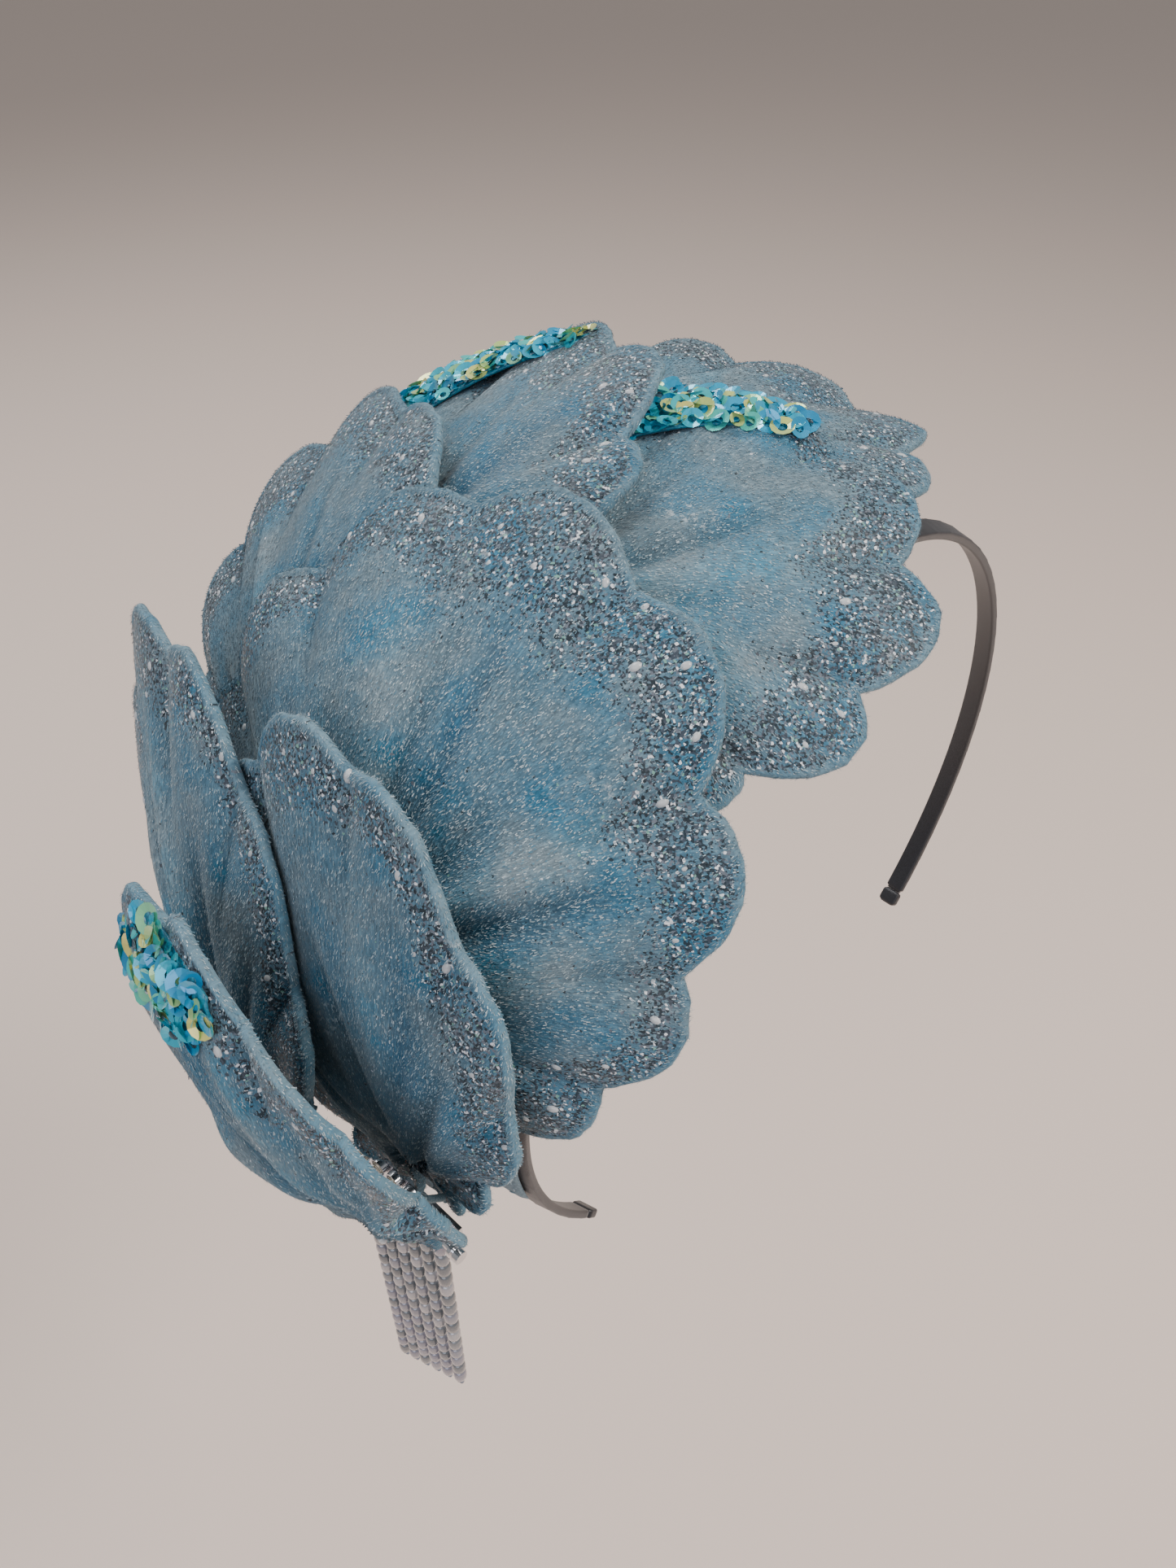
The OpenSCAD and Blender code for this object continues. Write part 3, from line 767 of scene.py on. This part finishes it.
    ragged = [1 + 0.28 * math.sin(3 * x + seed) + 0.16 * math.sin(7 * x + 2 * seed) for x in a]
    band = glitter.band / MM * np.array(ragged)
    margin = 1 - smooth_step(from_rim, 0.55 * band[None, :], band[None, :])
    margin = margin * smooth_step(from_rim, 1.2, 2.6)
    lobe_edge = 0.72 + 0.28 * wave[None, :]
    margin = np.clip(margin * lobe_edge * 1.15, 0, 1) * 0.98 + 0.012
    skirt = np.clip(1 - from_rim / (settings.rim_width / MM), 0, 1) ** 0.5
    outer = np.concatenate([np.ones(rows * count), np.zeros((rows - 1) * count), [1, 0]])
    fur = np.clip(spread(0.75 - 0.4 * margin + 1.1 * skirt, 0.75), 0, 1)
    fields = {
        "margin": spread(margin, 0.012),
        "rim": spread(skirt, 0.0),
        "crease": np.clip(spread(crease, 0.3), 0, 1),
        "swell": np.clip(spread(0.5 + 0.5 * swell, 0.5), 0, 1),
        "glitter": spread(margin, 0.012) * outer,
        "dew": spread(margin**1.5, 0.0) * outer,
        "pile": fur * (0.2 + 0.8 * outer),
    }
    for label, values in fields.items():
        layer = mesh.attributes.new(label, "FLOAT", "POINT")
        layer.data.foreach_set("value", values.astype(np.float32))
    nap = points - leaf.base
    nap /= np.maximum(np.linalg.norm(nap, axis=1), 1e-6)[:, None]
    layer = mesh.attributes.new("nap", "FLOAT_VECTOR", "POINT")
    layer.data.foreach_set("vector", nap.astype(np.float32).ravel())
    flat_u, flat_v = spread(u, 0.0), spread(v, 0.0)
    arc, way = spread(np.broadcast_to(a * 38.0, r.shape), 0.0), spread(r, 0.0)
    corner = np.empty(len(mesh.loops), np.int32)
    mesh.loops.foreach_get("vertex_index", corner)
    for label, x, y in (("flat", flat_u, flat_v), ("fan", arc, way)):
        layer = mesh.uv_layers.new(name=label)
        pairs = np.stack([x[corner], y[corner]], 1) * MM
        layer.data.foreach_set("uv", pairs.astype(np.float32).ravel())
    area = 0.5 * float(np.sum(rim[:-1] * rim[1:] * np.sin(np.diff(a)))) * leaf.narrow
    flat = (2 * leaf.rho * leaf.narrow * MM, leaf.rho * 2 * MM)
    return made, flat, area * MM * MM


# ---------------------------------------------------------------- other shapes
def round_head(down, radial, side):
    """A point over the head: down from the crown to the wearer's right, radial and side in mm."""
    t = math.radians(down)
    return (-math.sin(t) * radial, -side, math.cos(t) * radial)


def band_point(down, radial, side):
    """A point of the slanted band section."""
    tilt = math.asin(BAND_FORWARD / HEAD_R)
    return round_head(
        down, radial * math.cos(tilt) - side * math.sin(tilt), radial * math.sin(tilt) + side * math.cos(tilt)
    )


def rounded_section(r0, r1, width, corner, steps=4):
    """(radial, side) points round a rounded rectangle."""
    out = []
    half = width / 2 - corner
    mid, tall = (r0 + r1) / 2, (r1 - r0) / 2 - corner
    for quarter, (sr, ss) in enumerate(((1, 1), (-1, 1), (-1, -1), (1, -1))):
        for k in range(steps + 1):
            t = math.radians(90 * (quarter + k / steps))
            out.append((mid + sr * tall + corner * math.cos(t), ss * half + corner * math.sin(t)))
    return out


def satin_tube(name, start, end, grow, finish, pitch=7.0):
    """A length of the band's satin, wrapped on the slant, with rounded closed ends."""
    rows = []
    middle = (SLEEVE_IN + SLEEVE_OUT) / 2
    total = (end - start) * math.pi / 180 * 85
    steps = max(8, int(total / 0.8))
    for j in range(steps + 1):
        s = j / steps
        near_end = min(s, 1 - s) * total
        shrink = 1 - 0.35 * (1 - min(1, near_end / 0.9)) ** 2
        down = start + (end - start) * s
        ring = []
        for radial, side in rounded_section(SLEEVE_IN - grow, SLEEVE_OUT + grow, SLEEVE_W + 2 * grow, 0.5):
            lap = ((s * total + side * 0.9) / pitch) % 1.0
            swell = 0.10 * (1 - lap) ** 3
            outside = 1 if radial > middle else 0
            reach = middle + (radial - middle) * shrink + swell * outside
            ring.append(band_point(down, reach, side * shrink))
        rows.append(ring)
    faces = closed_rows(rows, columns_closed=True, capped=True)
    return outward(mesh_object(name, [p for ring in rows for p in ring], faces, finish))


def felt_slab(name, start, end, low, high, r0, r1, finish, seed, round_mm):
    """A sheet of wool felt over the head, with soft cut edges."""
    rng = random.Random(seed)
    phases = [rng.uniform(0, 6.3) for _ in range(6)]
    nu = max(20, int((end - start) * 1.4))
    nv = max(12, int((high - low) * 1.2))
    shells = {1: [], -1: []}
    for j in range(nu + 1):
        for sign in (1, -1):
            shells[sign].append([])
        for i in range(nv + 1):
            s, t = j / nu, i / nv
            down = start + (end - start) * s
            slope = low + (high - low) * t
            wave = 0.25 * math.sin(down * 0.8 + phases[0]) + 0.2 * math.sin(slope * 1.3 + phases[1])
            edge = min(s, 1 - s) * (end - start) * 1.5, min(t, 1 - t) * (high - low) * 1.5
            soft = min(1.0, (min(edge) / round_mm + 0.02)) ** 0.5
            down += 0.25 * math.sin(slope * 0.9 + phases[2]) * (abs(2 * s - 1) ** 8)
            mid, tall = (r0 + r1) / 2, (r1 - r0) / 2
            for sign in (1, -1):
                radial = mid + sign * tall * soft + 0.08 * wave * soft
                p = math.radians(slope)
                shells[sign][-1].append(round_head(down, radial * math.cos(p), radial * math.sin(p)))
    count = nv + 1
    points = [p for sign in (1, -1) for row in shells[sign] for p in row]
    under = (nu + 1) * count
    faces = closed_rows(shells[1])
    faces += [tuple(under + k for k in reversed(f)) for f in closed_rows(shells[-1])]
    border = (
        [i for i in range(count)] + [j * count + nv for j in range(1, nu + 1)]
        + [nu * count + i for i in range(nv - 1, -1, -1)] + [j * count for j in range(nu - 1, 0, -1)]
    )
    for k, a in enumerate(border):
        b = border[(k + 1) % len(border)]
        faces.append((a, b, under + b, under + a))
    return outward(mesh_object(name, points, faces, finish))


def margin_cloth(name, row, a0, a1, share, depth, finish):
    """The crescent of cloth that a trim's sequins are sewn to."""
    leaf = Leaf(row)
    n, m = 60, 8
    rows = []
    for j in range(m + 1):
        ring = []
        for i in range(n + 1):
            a = math.radians(a0 + (a1 - a0) * i / n)
            q = share - depth * math.sin(math.radians(180 * (0.08 + 0.84 * i / n))) * (1 - j / m)
            r = (float(leaf.plain_rim(a)) - TRIM_INSET) * q
            lift = 1.9 + 0.5 * math.sin(math.pi * j / m)
            ring.append(leaf.point(r * math.cos(a), r * math.sin(a) * leaf.narrow, lift))
        rows.append(ring)
    points = [tuple(p) for ring in rows for p in ring]
    made = mesh_object(name, points, closed_rows(rows), finish)
    middle = made.data.polygons[len(made.data.polygons) // 2]
    if middle.normal.dot(Vector(leaf.face)) < 0:
        made.data.flip_normals()
    return made


def stalk_tube(name, row, seat_r, finish):
    """A wire stalk wrapped in floss: the wrap shows as a fine helix."""
    leaf = Leaf(row)
    radius = 0.7
    clear = radius + 0.1
    back = leaf.base - leaf.along * 8.0
    foot = Vector(back / np.linalg.norm(back) * (seat_r + clear))
    top = Vector(leaf.point(0, 0, -LEAF_T / 2 - clear))
    run = top - foot
    side = run.cross(Vector((0.3, 1, 0.2))).normalized()
    other = run.cross(side).normalized()
    steps = max(16, int(run.length / 0.15))
    rows = []
    for j in range(steps + 1):
        along = foot + run * (j / steps)
        ring = []
        for i in range(10):
            t = 2 * math.pi * i / 10
            lap = (j / steps * run.length / 0.55 + i / 10) % 1.0
            r = radius * (0.93 + 0.07 * math.sin(math.pi * lap))
            ring.append(along + side * (r * math.cos(t)) + other * (r * math.sin(t)))
        rows.append(ring)
    faces = closed_rows(rows, columns_closed=True, capped=True)
    return outward(mesh_object(name, [tuple(p) for ring in rows for p in ring], faces, finish))


def cut_crystal(centre, radius, height, sides=8):
    """A chaton seen from its table: a table, crown facets, a girdle and a short pavilion."""
    levels = [(0.0, 0.45), (0.35, 1.0), (0.45, 1.0), (0.8, 0.72), (1.0, 0.5)]
    rows = []
    for k, (h, r) in enumerate(levels):
        ring = []
        for i in range(sides):
            t = 2 * math.pi * (i + 0.5 * (k % 2)) / sides
            y, z = radius * r * math.cos(t), radius * r * math.sin(t)
            ring.append((centre[0] - h * height, centre[1] + y, centre[2] + z))
        rows.append(ring)
    return rows


def strand_y(k):
    return BAR.y + (k - (STRANDS + 1) / 2) * STRAND_PITCH


def belongs(piece, body, slot, *nodes):
    """Every piece rides on a body and may stand for CAD nodes; slot is not used."""
    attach(piece, body)
    if nodes:
        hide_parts(*nodes)
    return piece


# ---------------------------------------------------------------- operators
class HEADPIECE_OT_stage(Operator):
    """Camera, soft studio light and a plain pale floor"""

    bl_idname = "headpiece.stage"
    bl_label = "Stage"

    def execute(self, context):
        settings = context.scene.stage_settings
        lens = bpy.data.cameras.new("camera")
        lens.lens = settings.lens
        lens.sensor_width = 36.0
        lens.clip_start = 0.01
        camera = new_object("camera", lens)
        right = Vector((0.676, -0.737, 0.015)).normalized()
        back = Vector((-0.554, -0.495, 0.669)).normalized()
        up = back.cross(right).normalized()
        right = up.cross(back)
        turn = Matrix((right, up, back)).transposed().to_4x4()
        camera.matrix_world = Matrix.Translation(Vector((-0.1558, -0.1012, 0.1837))) @ turn
        context.scene.camera = camera
        for name, place, size, power, tone in (
            ("key", (0.35, -0.75, 1.05), 0.55, 16.0, "#fff6ec"),
            ("fill", (-1.1, -0.5, 0.7), 1.2, 9.0, "#f2f4ff"),
            ("back", (0.1, 0.9, 1.1), 0.8, 12.0, "#ffffff"),
        ):
            lamp = bpy.data.lights.new(name, "AREA")
            lamp.shape = "DISK"
            lamp.size = size
            lamp.energy = power
            lamp.color = linear(tone)[:3]
            placed = new_object(name, lamp)
            aim = Vector((-0.05, 0.0, 0.03)) - Vector(place)
            facing = aim.to_track_quat("-Z", "Y").to_matrix().to_4x4()
            placed.matrix_world = Matrix.Translation(place) @ facing
        world = bpy.data.worlds.new("soft_room")
        world.use_nodes = True
        sky = world.node_tree.nodes["Background"]
        feed(world.node_tree, sky, {"Color": linear("#dfe0e2"), "Strength": 0.42})
        context.scene.world = world
        paint, tree, shader = material("matt_painted_floor")
        feed(tree, shader, {"Base Color": settings.floor, "Roughness": 0.9})
        z, wide = -settings.floor_drop / MM, 6000
        corners = [(-wide, -wide, z), (wide, -wide, z), (wide, wide, z), (-wide, wide, z)]
        mesh_object("floor", corners, [(0, 1, 2, 3)], paint, False)
        return {"FINISHED"}


class HEADPIECE_OT_threads(Operator):
    """The six tassel threads, each a hanging cord with its knot and beads"""

    bl_idname = "headpiece.threads"
    bl_label = "Tassel strands"

    def execute(self, context):
        nylon = woven_cloth("twisted_nylon_thread", "#6f7078", "#a4a5ae", 0.2, 0.6)
        glass = bead_glass()
        tree = bead_tree()
        for k in range(1, STRANDS + 1):
            body = f"strand_{k}"
            beads = BEADS + k - 1
            hang = RING_D / 2 + 1.2 + beads * BEAD_STEP + KNOT_D / 2
            y = strand_y(k)
            top = Vector((BAR.x, y, BAR.z - RING_D / 2 - 0.02))
            low = Vector((BAR.x, y, BAR.z - hang + KNOT_D * 0.3))
            # Beads: one point for each, bored on the thread
            first = BAR.z - RING_D / 2 - 0.3 + BEAD_L / 2
            points = [(BAR.x, y, first - b * BEAD_STEP) for b in range(1, beads + 1)]
            carrier = mesh_object(f"bead_places_{k}", points, [], glass)
            row = baked(
                carrier, tree,
                {"Length": BEAD_L * MM, "Radius": BEAD_D / 2 * MM, "Seed": k, "Material": glass}, f"bead_row_{k}",
            )
            bpy.data.objects.remove(carrier)
            belongs(row, body, "glass_bead", f"beads_{k}")
            # Knot: a ball of three crossed turns under the last bead
            turns = []
            for i in range(73):
                t = 2 * math.pi * i / 72
                loop = Vector((
                    math.sin(t) + 2 * math.sin(2 * t),
                    math.cos(t) - 2 * math.cos(2 * t),
                    -math.sin(3 * t),
                ))
                turns.append(Vector((BAR.x, y, BAR.z - hang)) + loop * 0.19)
            rows = []
            for i, p in enumerate(turns[:-1]):
                way = (turns[(i + 1) % 72] - p).normalized()
                side = way.cross(Vector((0.1, 0.2, 1))).normalized()
                other = way.cross(side)
                sixths = [math.pi / 3 * n for n in range(6)]
                rows.append([
                    p + side * (0.3 * math.cos(s)) + other * (0.3 * math.sin(s)) for s in sixths
                ])
            rows.append(rows[0])
            flat = [tuple(p) for ring in rows[:-1] for p in ring]
            faces = [tuple(v % len(flat) for v in f) for f in closed_rows(rows, columns_closed=True)]
            knot = outward(mesh_object(f"thread_knot_{k}", flat, faces, nylon))
            belongs(knot, body, "thread")
            line = bpy.data.curves.new(f"tassel_thread_{k}", "CURVE")
            line.dimensions = "3D"
            spline = line.splines.new("POLY")
            spline.points.add(15)
            for n, point in enumerate(spline.points):
                place = top.lerp(low, n / 15) * MM
                point.co = (*place, 1)
            line.bevel_depth = THREAD_D / 2 * MM
            line.bevel_resolution = 2
            line.use_fill_caps = True
            line.materials.append(nylon)
            thread = new_object(f"tassel_thread_{k}", line)
            belongs(thread, body, "thread", f"thread_{k}")
        return {"FINISHED"}


class HEADPIECE_OT_leaves(Operator):
    """The eight padded velvet leaves with their pile, glitter and dew beads"""

    bl_idname = "headpiece.leaves"
    bl_label = "Velvet leaves"

    def execute(self, context):
        settings, glitter = context.scene.leaf_settings, context.scene.glitter_settings
        cloth = velvet(settings, "rayon_pile_velvet")
        fibre = pile_fibre(settings)
        foil = glitter_flake()
        # The dew beads are near-white glass and only partly clear: a painted reflection of the bright light that
        # clear drops mirror
        dew = clear_glass("dew_bead_glass_whitened", "#f4f8fb", clear=0.45)
        flakes = scatter_tree("glitter_flakes", flake_shape, tilt=0.75)
        fibres = scatter_tree("pile_fibres", fibre_shape, tilt=0.14, spin=0.4, along_nap=True)
        drops = scatter_tree("dew_beads", drop_shape, poisson=True, tilt=0.1, spin=0.5, along_nap=True)
        for number, (name, row) in enumerate(LEAVES.items()):
            leaf, flat, area = leaf_mesh(f"velvet_leaf_{name}", row, settings, glitter, cloth, 20 + number)
            for label, tree, density, size, lift, stuff, slot in (
                ("pile", fibres, 7.0e6, settings.pile, 0.1, fibre, "velvet"),
                ("glitter", flakes, glitter.density, glitter.flake, 0.16, foil, "sequins"),
                ("dew", drops, 60000.0, glitter.dew, 0.35, dew, "crystal"),
            ):
                values = {
                    "Weight": label, "Density": density, "Spacing": glitter.dew_gap, "Size": size,
                    "Lift": lift * MM, "Material": stuff, "Seed": 7 * number + 1,
                }
                made = baked(leaf, tree, values, f"{label}_{name}")
                belongs(made, BODY, slot)
            belongs(leaf, BODY, "velvet", f"leaf_{name}")
        return {"FINISHED"}


class HEADPIECE_OT_trims(Operator):
    """The three sequin trims on leaf margins"""

    bl_idname = "headpiece.trims"
    bl_label = "Sequin trims"

    def execute(self, context):
        settings = context.scene.trim_settings
        film = sequin_film()
        ground = woven_cloth("teal_net_ground", "#0b5877", "#1b93ad", 0.5, 0.4, 0.1)
        tree = scatter_tree("cup_sequins", sequin_shape, poisson=True, tilt=0.5)
        for number, (name, (leaf, a0, a1, share, depth)) in enumerate(TRIMS.items()):
            cloth = margin_cloth(f"trim_cloth_{name}", LEAVES[leaf], a0, a1, share, depth, ground)
            weight = cloth.data.attributes.new("whole", "FLOAT", "POINT")
            weight.data.foreach_set("value", [1.0] * len(cloth.data.vertices))
            sequins = baked(
                cloth, tree,
                {"Weight": "whole", "Density": 2.0e6, "Spacing": settings.gap, "Size": settings.radius,
                 "Lift": 0.8 * MM, "Seed": 31 + number, "Material": film}, f"cup_sequins_{name}",
            )
            solid = cloth.modifiers.new("thickness", "SOLIDIFY")
            solid.thickness = 0.5 * MM
            solid.offset = -1
            belongs(sequins, BODY, "sequins")
            belongs(cloth, BODY, "sequins", f"sequins_{name}")
        return {"FINISHED"}


class HEADPIECE_OT_band(Operator):
    """The satin-wrapped headband and its folded tips"""

    bl_idname = "headpiece.band"
    bl_label = "Headband"

    def execute(self, context):
        satin = woven_cloth("polyester_satin", "#131316", "#2c2c33", 0.25, 0.42, 0.15)
        tube = satin_tube("satin_sleeve", -BAND_REACH, BAND_REACH, 0.0, satin)
        belongs(tube, BODY, "satin", "band_sleeve")
        for side, name in ((1, "right"), (-1, "left")):
            start, end = sorted((side * (BAND_REACH + 0.1), side * (BAND_REACH + 3.0)))
            tip = satin_tube(f"folded_tip_{name}", start, end, 0.1, satin, 9.0)
            belongs(tip, BODY, "satin", f"band_tip_{name}")
        steel, tree, shader = material("blued_spring_steel")
        feed(tree, shader, {"Base Color": linear("#5c6068"), "Metallic": 1.0, "Roughness": 0.35})
        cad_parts["band_spring"].data.materials[0] = steel
        return {"FINISHED"}


class HEADPIECE_OT_felt(Operator):
    """The felt base, the ear pad, their stitches and the wrapped stalks"""

    bl_idname = "headpiece.felt"
    bl_label = "Felt and stalks"

    def execute(self, context):
        wool = woven_cloth("blue_wool_felt", "#3c5a69", "#6f8c99", 0.45, 0.95, 0.35)
        floss = woven_cloth("wrapping_floss", "#5f7f8f", "#9ab3bd", 0.18, 0.6, 0.3)
        base = felt_slab(
            "felt_base_cloth", *FELT_SPAN, *FELT_SIDES, FELT_IN, FELT_OUT, wool, 3, 0.8
        )
        belongs(base, BODY, "felt", "felt_base")
        pad = felt_slab(
            "ear_pad_cloth", *PAD_SPAN, *PAD_SIDES, FELT_OUT + 0.1, PAD_OUT, wool, 4, 3.0
        )
        belongs(pad, BODY, "felt", "ear_pad")
        # One line of stitches, 1.2 degrees inside the felt's edge
        start, end = FELT_SPAN[0] + 1.2, FELT_SPAN[1] - 1.2
        low, high = FELT_SIDES[0] + 1.2, FELT_SIDES[1] - 1.2
        loop = [(start + (end - start) * i / 90, low) for i in range(91)]
        loop += [(end, low + (high - low) * i / 30) for i in range(1, 31)]
        loop += [(end - (end - start) * i / 90, high) for i in range(1, 91)]
        loop += [(start, high - (high - low) * i / 30) for i in range(1, 30)]
        above, lines = FELT_OUT + 0.05, []
        for down, slope in loop:
            p = math.radians(slope)
            lines.append(round_head(down, above * math.cos(p), above * math.sin(p)))
        edges = [(i, (i + 1) % len(loop)) for i in range(len(loop))]
        mesh = bpy.data.meshes.new("stitch_line")
        mesh.from_pydata([tuple(c * MM for c in p) for p in lines], edges, [])
        carrier = new_object("stitch_line", mesh)
        values = {"Length": 2.2 * MM, "Radius": 0.22 * MM, "Material": floss}
        stitches = baked(carrier, stitch_tree(), values, "felt_stitches")
        bpy.data.objects.remove(carrier)
        belongs(stitches, BODY, "felt")
        for name, row in LEAVES.items():
            stalk = stalk_tube(f"wrapped_stalk_{name}", row, SEATS.get(name, FELT_OUT), floss)
            belongs(stalk, BODY, "wrapped_wire", f"stalk_{name}")
        return {"FINISHED"}


class HEADPIECE_OT_tassel(Operator):
    """The tassel's plate, bar, rings, cups and crystals"""

    bl_idname = "headpiece.tassel"
    bl_label = "Tassel top"

    def execute(self, context):
        silver = plated_metal("silver_plated_brass", "#c9cbd0", 0.18)
        stone = clear_glass("cut_crystal_glass", "#efe6d2", 0.0)
        rings = [f"ring_{k}" for k in range(1, STRANDS + 1)]
        for node in ["tassel_plate", "tassel_bar", "bar_ends", "crystal_cups", *rings]:
            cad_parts[node].data.materials[0] = silver
        points, faces = [], []
        low, high = (Vector(c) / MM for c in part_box("crystals"))
        for k in range(1, STRANDS + 1):
            rows = cut_crystal((high.x, strand_y(k), (low.z + high.z) / 2), 1.42, high.x - low.x)
            start = len(points)
            points += [p for ring in rows for p in ring]
            faces += [tuple(start + v for v in f) for f in closed_rows(rows, columns_closed=True, capped=True)]
        stones = outward(mesh_object("cut_crystals", points, faces, stone, smooth=False))
        belongs(stones, BODY, "crystal", "crystals")
        return {"FINISHED"}


class HEADPIECE_PT_panel(Panel):
    """Lists the headpiece's makers and settings"""

    bl_label = "Headpiece"
    bl_idname = "HEADPIECE_PT_panel"
    bl_space_type = "VIEW_3D"
    bl_region_type = "UI"
    bl_category = "Headpiece"

    def draw(self, context):
        for operator in OPERATORS:
            self.layout.operator(operator.bl_idname)
        for name in SETTINGS:
            group = getattr(context.scene, name)
            box = self.layout.box()
            for key in type(group).__annotations__:
                box.prop(group, key)


OPERATORS = (
    HEADPIECE_OT_stage,
    HEADPIECE_OT_threads,
    HEADPIECE_OT_leaves,
    HEADPIECE_OT_trims,
    HEADPIECE_OT_band,
    HEADPIECE_OT_felt,
    HEADPIECE_OT_tassel,
)
SETTINGS = {
    "leaf_settings": LeafSettings,
    "glitter_settings": GlitterSettings,
    "trim_settings": TrimSettings,
    "stage_settings": StageSettings,
}


def register():
    for kind in (*SETTINGS.values(), *OPERATORS, HEADPIECE_PT_panel):
        bpy.utils.register_class(kind)
    for name, kind in SETTINGS.items():
        setattr(bpy.types.Scene, name, PointerProperty(type=kind))


def unregister():
    for name in SETTINGS:
        delattr(bpy.types.Scene, name)
    for kind in reversed((*SETTINGS.values(), *OPERATORS, HEADPIECE_PT_panel)):
        bpy.utils.unregister_class(kind)


def main():
    register()
    for operator in OPERATORS:
        group, call = operator.bl_idname.split(".")
        getattr(getattr(bpy.ops, group), call)()


if __name__ == "__main__":
    main()
